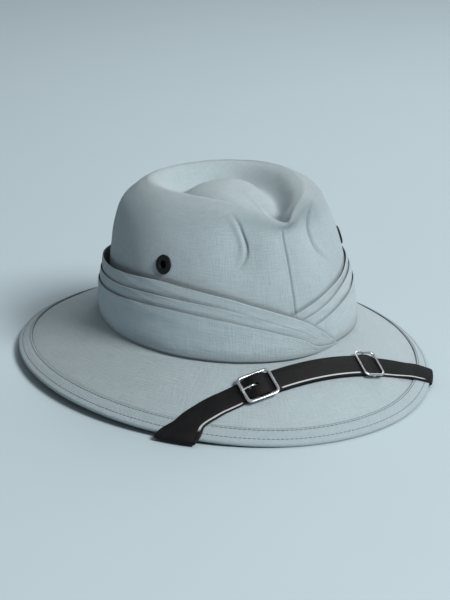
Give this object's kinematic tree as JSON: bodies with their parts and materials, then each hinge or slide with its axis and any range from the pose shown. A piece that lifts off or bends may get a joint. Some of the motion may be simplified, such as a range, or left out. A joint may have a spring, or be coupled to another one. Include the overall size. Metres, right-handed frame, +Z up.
{
  "type": "safari hat",
  "caption": "Safari hat with a tall pinched crown, pleated cloth band, sloping bound brim and a buckled leather chin strap laid round the front of the brim.",
  "frame": {"origin": "middle of the hat in plan, on the surface that the lowest stretches of the brim rest on", "axes": "+Z up through the crown, -Y towards the front of the hat, +X towards the wearer's left"},
  "size_m": [0.3, 0.3691, 0.1509],
  "materials": {
    "canvas": "matt twill weave",
    "binding": "matt folded tape",
    "puggaree": "matt soft cotton",
    "sweatband": "matt ribbed tape",
    "leather": "satin, smooth grain",
    "enamel": "satin black",
    "nickel": "satin nickel plate"
  },
  "bodies": {
    "root": {"crown": "canvas", "brim": "canvas", "brim_binding": "binding", "sweatband": "sweatband", "puggaree": "puggaree", "chin_strap_left": "leather", "chin_strap_right": "leather", "eyelet_right": "enamel", "eyelet_left": "enamel", "buckle_frame": "nickel", "buckle_prong": "nickel", "strap_slide": "nickel"}
  },
  "joints": []
}
